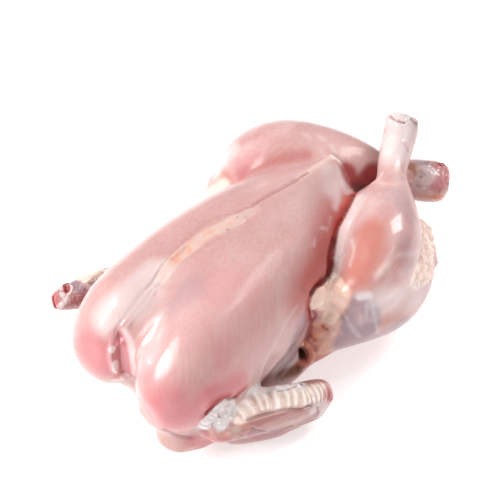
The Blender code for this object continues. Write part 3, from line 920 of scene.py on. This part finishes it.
def sculpt(skin, tree, shares):
    names = muscleAt(skin, tree, shares)
    moved = np.zeros(len(skin.points))
    for place, width, soft, height, *only in fullForms + ridges:
        moved += strokeShare(skin, tree, place, width, soft) * height * stayOn(names, only)
    for place, width, height, *only in creases:
        far, along = distanceAlong(skin.points, strokeLine(tree, place), width + 1)
        moved += np.clip(1 - far / width, 0, 1) ** creaseShape * height * stayOn(names, only)
    moved += foldWingSkin(skin, tree)
    moved += addKnobs(skin, tree, names)
    skin.points += skin.normals * moved[:, None]
    skin.points[:, 2] = np.maximum(skin.points[:, 2], 0)
    skin.write()


tuckedLook = {
    "rays": 14,
    "reach": 14.0,   # how far away flesh still shades a vertex
    "lift": 0.4,
    "spread": 0.96,
    "fade": 0.6,
}


# how far each vertex is tucked in behind other flesh, from 0 out in the open to 1, which darkens the colour
# as painted shade
def tuckedIn(skin, tree):
    count = tuckedLook["rays"]
    index = np.arange(count) + 0.5
    height = np.sqrt(1 - index / count * tuckedLook["spread"])
    spread = np.sqrt(1 - height ** 2)
    turn = index * math.pi * (1 + 5 ** 0.5)
    normal = skin.normals
    helper = np.where(np.abs(normal[:, 2:3]) < 0.9, [[0.0, 0.0, 1.0]], [[1.0, 0.0, 0.0]])
    side = np.cross(helper, normal)
    side /= np.linalg.norm(side, axis=1)[:, None]
    other = np.cross(normal, side)
    tuckedShade = np.zeros(len(normal))
    starts = ((skin.points + normal * tuckedLook["lift"]) * mm).tolist()
    reach = tuckedLook["reach"] * mm
    for k in range(count):
        sideways = side * (spread[k] * math.cos(turn[k]))
        directions = normal * height[k] + sideways + other * (spread[k] * math.sin(turn[k]))
        for row, (start, direction) in enumerate(zip(starts, directions.tolist())):
            gap = tree.ray_cast(start, direction, reach)[3]
            if gap is not None:
                tuckedShade[row] += 1 - tuckedLook["fade"] * gap / reach
    return tuckedShade / count


paintLook = {
    "edge": 2,           # times that a mask's edge is averaged
    "tuckedEdge": 3,
    "muscleEdge": 6,
    "rimClear": (2.5, 5.0),    # half width and soft edge of what stays free of shadow
    "wingClear": (2.0, 4.0),
    "wingClearing": 0.9,
    "fibreStretch": 0.92,
}
shadows = ["bloodAndShade", "brownAndShade", "shade", "roseAndShade"]
muscleGroups = {
    "leg": ["nearDrumstick", "nearCalf", "nearThigh", "farDrumstick", "farThigh"],
    "wing": ["nearWing", "nearUpperWing", "farWing", "farUpperWing"],
    "bone": ["farAnkle", "nearAnkle"],
    "under": ["back"],
}


def paint(skin, tree, shares):
    names = muscleAt(skin, tree, shares)
    rim = strokeShare(skin, tree, "legRim", *paintLook["rimClear"]) * ~np.isin(names, breasts)
    clear = 1 - skin.blur(rim, paintLook["edge"])
    lit = 1 - paintLook["wingClearing"] * strokeShare(skin, tree, "wingTop", *paintLook["wingClear"])
    for name, strokes in paints.items():
        mask = np.zeros(len(skin.points))
        for place, width, soft, strength, *only in strokes:
            amount = strokeShare(skin, tree, place, width, soft) * strength
            mask = np.maximum(mask, amount * stayOn(names, only))
        setMask(skin, name, skin.blur(mask, paintLook["edge"]) * (clear if name in shadows else 1))
    setMask(skin, "tuckedShade", skin.blur(tuckedIn(skin, tree), paintLook["tuckedEdge"]) * clear * lit)
    for name, members in muscleGroups.items():
        setMask(skin, name, skin.blur(np.isin(names, members).astype(float), paintLook["muscleEdge"]))
    grain = np.zeros_like(skin.points)
    for index, muscle in enumerate(muscles.values()):
        axis = np.array(muscle["fibre"], float)
        axis /= np.linalg.norm(axis)
        rows = shares.argmin(0) == index
        along = skin.points[rows] @ axis
        grain[rows] = skin.points[rows] - paintLook["fibreStretch"] * along[:, None] * axis
    layer = skin.mesh.attributes.new("grain", "FLOAT_VECTOR", "POINT")
    layer.data.foreach_set("vector", grain.astype(np.float32).ravel())


# small helpers for the material's nodes
class Nodes:
    def __init__(self, tree):
        self.tree = tree

    def add(self, kind, **values):
        node = self.tree.nodes.new(kind)
        for name, value in values.items():
            setattr(node, name, value)
        return node

    def link(self, source, target):
        self.tree.links.new(source, target)

    def mask(self, name):
        node = self.add("ShaderNodeAttribute", attribute_name=name)
        return node.outputs["Fac"]

    def noise(self, vector, scale, detail, roughness=0.55):
        node = self.add("ShaderNodeTexNoise")
        node.inputs["Scale"].default_value = scale
        node.inputs["Detail"].default_value = detail
        node.inputs["Roughness"].default_value = roughness
        self.link(vector, node.inputs["Vector"])
        return node.outputs["Fac"]

    def math(self, operation, a, b=0.0):
        node = self.add("ShaderNodeMath", operation=operation)
        for socket, value in zip(node.inputs, (a, b)):
            if isinstance(value, (int, float)):
                socket.default_value = value
            else:
                self.link(value, socket)
        return node.outputs[0]

    def ramp(self, value, low, high, toLow=0.0, toHigh=1.0):
        node = self.add("ShaderNodeMapRange")
        self.link(value, node.inputs["Value"])
        node.inputs["From Min"].default_value = low
        node.inputs["From Max"].default_value = high
        node.inputs["To Min"].default_value = toLow
        node.inputs["To Max"].default_value = toHigh
        return node.outputs["Result"]

    # a mask that is broken up by a pattern
    def broken(self, name, pattern, low, high, toLow, toHigh):
        return self.math("MULTIPLY", self.mask(name), self.ramp(pattern, low, high, toLow, toHigh))

    def mix(self, factor, a, b):
        node = self.add("ShaderNodeMix", data_type="RGBA")
        for socket, value in ((node.inputs[0], factor), (node.inputs[6], a), (node.inputs[7], b)):
            if isinstance(value, (int, float)):
                socket.default_value = value
            elif isinstance(value, tuple):
                socket.default_value = (*value, 1.0)
            else:
                self.link(value, socket)
        return node.outputs[2]


# colours are linear, and shares say how strongly each mask shows
meatLook = {
    "breast": (0.475, 0.262, 0.244),
    "breastPale": (0.53, 0.33, 0.315),
    "leg": (0.50, 0.28, 0.265),
    "legPale": (0.57, 0.39, 0.375),
    "salmon": (0.46, 0.14, 0.10),
    # rose of the flesh, also used as painted shade
    "roseAndShade": (0.52, 0.155, 0.17),
    "lilac": (0.26, 0.175, 0.215),
    "strip": (0.56, 0.41, 0.36),
    "peach": (0.64, 0.23, 0.13),
    "fat": (0.84, 0.69, 0.60),
    "fatWarm": (0.66, 0.34, 0.23),
    # white of tissue and bone, also used for painted highlights
    "whiteAndHighlight": (0.72, 0.67, 0.66),
    "bone": (0.50, 0.33, 0.32),
    # dark red of real blood and of painted shade in creases
    "bloodAndShade": (0.24, 0.014, 0.014),
    # near black of painted shade, and brown
    "brownAndShade": (0.045, 0.01, 0.007),
    # brown of the far ankle and the far wing, also painted shadow under the back
    "tan": (0.19, 0.055, 0.02),
    "tuckedShade": (0.24, 0.045, 0.04),
    # painted shade for flesh tucked in behind other flesh
    "wing": (0.37, 0.205, 0.195),
    "under": (0.46, 0.27, 0.24),
    "foldLow": (0.74, 0.55, 0.475),
    "foldHigh": (0.88, 0.78, 0.72),
    "shade": (0.33, 0.03, 0.018),
    "fibreShare": 0.4,
    "streakShare": 0.16,
    "scales": {"big": 30.0, "patch": 85.0, "fine": 260.0, "wrinkles": 190.0, "fibres": 0.75},
    "roughness": 0.62,
    "wetSmoothing": 0.31,
    "drySkin": 0.25,
    "coatRoughness": 0.12,
    "specular": 0.38,
    "subsurface": 0.3,
    "subsurfaceRadius": (1.0, 0.35, 0.25),
    "subsurfaceScale": 0.003,
    "bump": 0.25,
    "bumpHeight": 0.001,
    "wrinkles": 2.0,
}


def meatMaterial():
    material = bpy.data.materials.new("rawMeat")
    material.use_nodes = True
    tree = material.node_tree
    n = Nodes(tree)
    shader = tree.nodes["Principled BSDF"]
    grain = n.add("ShaderNodeAttribute", attribute_name="grain").outputs["Vector"]
    place = n.add("ShaderNodeTexCoord").outputs["Object"]
    look = meatLook
    scales = look["scales"]
    big = n.noise(place, scales["big"], 3.0)
    patch = n.noise(place, scales["patch"], 4.0)
    fine = n.noise(place, scales["fine"], 1.0)
    fibres = n.noise(grain, scales["fibres"], 1.0)
    tuckedShade = n.mask("tuckedShade")
    breast = n.mix(n.ramp(big, 0.35, 0.7), look["breast"], look["breastPale"])
    leg = n.mix(n.ramp(patch, 0.35, 0.65), look["leg"], look["legPale"])
    colour = n.mix(n.mask("leg"), breast, leg)
    for name in ("under", "bone", "wing"):
        colour = n.mix(n.mask(name), colour, look[name])
    colour = n.mix(n.ramp(fibres, 0.5, 0.65, 0.0, look["fibreShare"]), colour, look["breastPale"])
    colour = n.mix(n.ramp(fibres, 0.48, 0.36, 0.0, look["streakShare"]), colour, look["roseAndShade"])
    # painted shade: flesh tucked in behind other flesh turns dark red
    colour = n.mix(n.ramp(tuckedShade, 0.25, 0.85, 0.0, 0.8), colour, look["tuckedShade"])
    folds = n.math("ADD", n.mask("fold"), n.ramp(fine, 0.3, 0.7, -0.3, 0.3))
    fold = n.mix(n.ramp(folds, 0.1, 0.8), look["foldLow"], look["foldHigh"])
    colour = n.mix(n.mask("band"), colour, fold)
    # rose flesh, and painted shade under the far drumstick, the shoulder and the wing
    colour = n.mix(n.broken("roseAndShade", patch, 0.3, 0.6, 0.75, 1.0), colour, look["roseAndShade"])
    colour = n.mix(n.mask("shade"), colour, look["shade"])
    colour = n.mix(n.broken("salmon", patch, 0.3, 0.6, 0.75, 1.0), colour, look["salmon"])
    colour = n.mix(n.broken("lilac", patch, 0.3, 0.7, 0.9, 0.6), colour, look["lilac"])
    strip = n.mix(n.ramp(fine, 0.45, 0.65, 0.0, 0.4), look["strip"], look["peach"])
    colour = n.mix(n.math("MULTIPLY", n.mask("strip"), 0.95), colour, strip)
    colour = n.mix(n.broken("peach", fine, 0.35, 0.65, 0.5, 1.0), colour, look["peach"])
    # real brown, and painted shadow under the back
    colour = n.mix(n.mask("tan"), colour, look["tan"])
    warm = n.math("MAXIMUM", n.ramp(patch, 0.5, 0.75, 0.0, 0.3), n.math("MULTIPLY", n.mask("gap"), 0.5))
    warm = n.math("MAXIMUM", warm, n.math("MULTIPLY", n.mask("peach"), 0.4))
    colour = n.mix(n.mask("fat"), colour, n.mix(warm, look["fat"], look["fatWarm"]))
    # white tissue, and painted highlights
    colour = n.mix(n.broken("whiteAndHighlight", patch, 0.3, 0.7, 1.0, 0.8), colour, look["whiteAndHighlight"])
    # real blood marks, and painted shade in creases and hollows
    colour = n.mix(n.broken("bloodAndShade", patch, 0.25, 0.7, 0.75, 1.0), colour, look["bloodAndShade"])
    # painted shade in the hollow and the deepest creases, and brown mottling
    colour = n.mix(n.mask("brownAndShade"), colour, look["brownAndShade"])
    n.link(colour, shader.inputs["Base Color"])
    dull = n.ramp(n.mask("dull"), 0.0, 1.0, 1.0, 0.0)
    bare = n.math("MULTIPLY", n.ramp(tuckedShade, 0.3, 0.7, 1.0, 0.1), dull)
    smoother = n.math("MULTIPLY", bare, look["wetSmoothing"])
    n.link(n.math("SUBTRACT", look["roughness"], smoother), shader.inputs["Roughness"])
    wet = n.math("MAXIMUM", n.mask("wet"), look["drySkin"])
    n.link(n.math("MULTIPLY", wet, bare), shader.inputs["Coat Weight"])
    shader.inputs["Coat Roughness"].default_value = look["coatRoughness"]
    shader.inputs["Specular IOR Level"].default_value = look["specular"]
    shader.inputs["Subsurface Weight"].default_value = look["subsurface"]
    shader.inputs["Subsurface Radius"].default_value = look["subsurfaceRadius"]
    shader.inputs["Subsurface Scale"].default_value = look["subsurfaceScale"]
    bump = n.add("ShaderNodeBump")
    bump.inputs["Strength"].default_value = look["bump"]
    bump.inputs["Distance"].default_value = look["bumpHeight"]
    wrinkles = n.math("MULTIPLY", n.mask("wrinkle"), look["wrinkles"])
    creased = n.math("MULTIPLY", n.noise(place, scales["wrinkles"], 1.0), wrinkles)
    n.link(creased, bump.inputs["Height"])
    n.link(bump.outputs["Normal"], shader.inputs["Normal"])
    return material


chicken = drawSkin("chickenSkin")
refine(chicken, fineZones)
refine(chicken, finestZones)
skin = Skin(chicken.data)
print("skin drawn:", len(skin.points), "vertices")
evenOut(skin, skin.tree())
sculpt(skin, skin.tree(), muscleShares(skin.points))
print("forms sculpted")
paint(skin, skin.tree(), muscleShares(skin.points))
print("masks painted")
chicken.data.shade_smooth()
chicken.data.materials.clear()
chicken.data.materials.append(meatMaterial())
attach(chicken, "root")
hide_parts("chicken")
print("meat finished")


studio = {
    "floor": (0.85, 0.85, 0.85),
    "floorSize": 3.0,
    "floorRoughness": 0.9,
    "floorGlow": 0.45,
    "world": 0.6,
    "lights": [
        {"name": "leftBox", "azimuth": -122, "elevation": 38, "size": (0.85, 0.5), "power": 14.5},
        {"name": "rightBox", "azimuth": 68, "elevation": 52, "size": (0.5, 0.5), "power": 6.0},
    ],
    "lightDistance": 1.1,
}


def studioFloor():
    mesh = bpy.data.meshes.new("floor")
    bm = bmesh.new()
    bmesh.ops.create_grid(bm, x_segments=1, y_segments=1, size=studio["floorSize"])
    bm.to_mesh(mesh)
    bm.free()
    floor = addObject("floor", mesh)
    material = bpy.data.materials.new("paleFloor")
    material.use_nodes = True
    shader = material.node_tree.nodes["Principled BSDF"]
    shader.inputs["Base Color"].default_value = (*studio["floor"], 1.0)
    shader.inputs["Roughness"].default_value = studio["floorRoughness"]
    shader.inputs["Emission Color"].default_value = (1.0, 1.0, 1.0, 1.0)
    shader.inputs["Emission Strength"].default_value = studio["floorGlow"]
    mesh.materials.append(material)


def pointAt(obj, place, target):
    obj.location = place
    obj.rotation_euler = (Vector(target) - Vector(place)).to_track_quat("-Z", "Y").to_euler()


def studioLights():
    world = bpy.data.worlds.new("softRoom")
    world.use_nodes = True
    background = world.node_tree.nodes["Background"]
    background.inputs["Color"].default_value = (1.0, 1.0, 1.0, 1.0)
    background.inputs["Strength"].default_value = studio["world"]
    bpy.context.scene.world = world
    aim = np.array(photoView["aim"]) * mm
    for box in studio["lights"]:
        light = bpy.data.lights.new(box["name"], "AREA")
        light.shape = "RECTANGLE"
        light.size, light.size_y = box["size"]
        light.energy = box["power"]
        away = fromAngles(box["azimuth"], box["elevation"]) * studio["lightDistance"]
        pointAt(addObject(box["name"], light), aim + away, aim)


def photoCamera():
    data = bpy.data.cameras.new("photoCamera")
    data.lens = photoView["lens"]
    data.sensor_width = photoView["sensor"]
    camera = addObject("photoCamera", data)
    pointAt(camera, cameraPlace * mm, np.array(photoView["aim"]) * mm)
    bpy.context.scene.camera = camera


studioFloor()
studioLights()
photoCamera()
bpy.context.scene.view_settings.view_transform = "Standard"
print("studio set")
